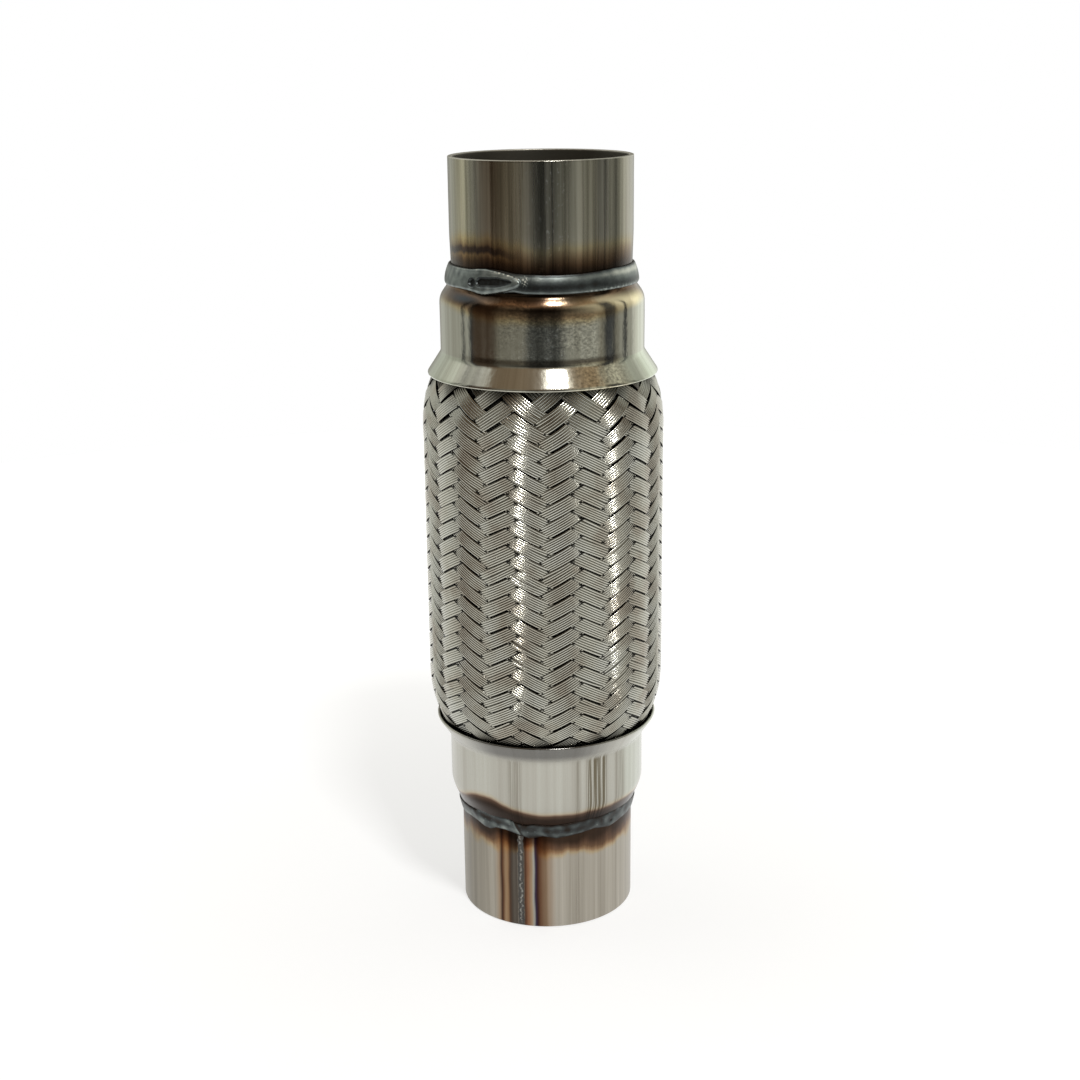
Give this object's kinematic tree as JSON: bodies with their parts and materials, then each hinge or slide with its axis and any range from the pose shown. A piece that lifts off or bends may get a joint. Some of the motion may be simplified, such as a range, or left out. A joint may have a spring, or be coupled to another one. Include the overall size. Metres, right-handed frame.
{
  "type": "exhaust flex pipe",
  "caption": "Braided exhaust flex pipe: wire-braided bellows between flared collars, with a plain pipe stub welded into each end.",
  "frame": {"origin": "centre of the lower rim, on the surface that the pipe stands on", "axes": "+Z along the pipe axis from the lower stub to the upper one, -Y towards the picture's camera, +X to its right"},
  "size_m": [0.0652, 0.0652, 0.21],
  "materials": {
    "upper_stub_steel": "satin, olive-grey, heat-tinted brown near the weld",
    "lower_stub_steel": "satin, warm grey, streaked along the axis, heat-tinted near the weld",
    "upper_collar_steel": "polished, brown heat tint on the shoulder",
    "lower_collar_steel": "polished, pale, fine streaks along the axis",
    "weld_metal": "dull slate-grey weld bead",
    "braid_wire": "bright drawn wire in flat ribbons",
    "bellows_steel": "bright thin sheet",
    "liner_wire": "dull woven wire",
    "ring_steel": "satin"
  },
  "bodies": {
    "root": {"upper_stub_pipe": "upper_stub_steel", "lower_stub_pipe": "lower_stub_steel", "upper_end_collar": "upper_collar_steel", "lower_end_collar": "lower_collar_steel", "upper_weld_bead": "weld_metal", "lower_weld_bead": "weld_metal", "outer_braid": "braid_wire", "bellows": "bellows_steel", "inner_braid": "liner_wire", "upper_inner_ring": "ring_steel", "lower_inner_ring": "ring_steel"}
  },
  "joints": []
}
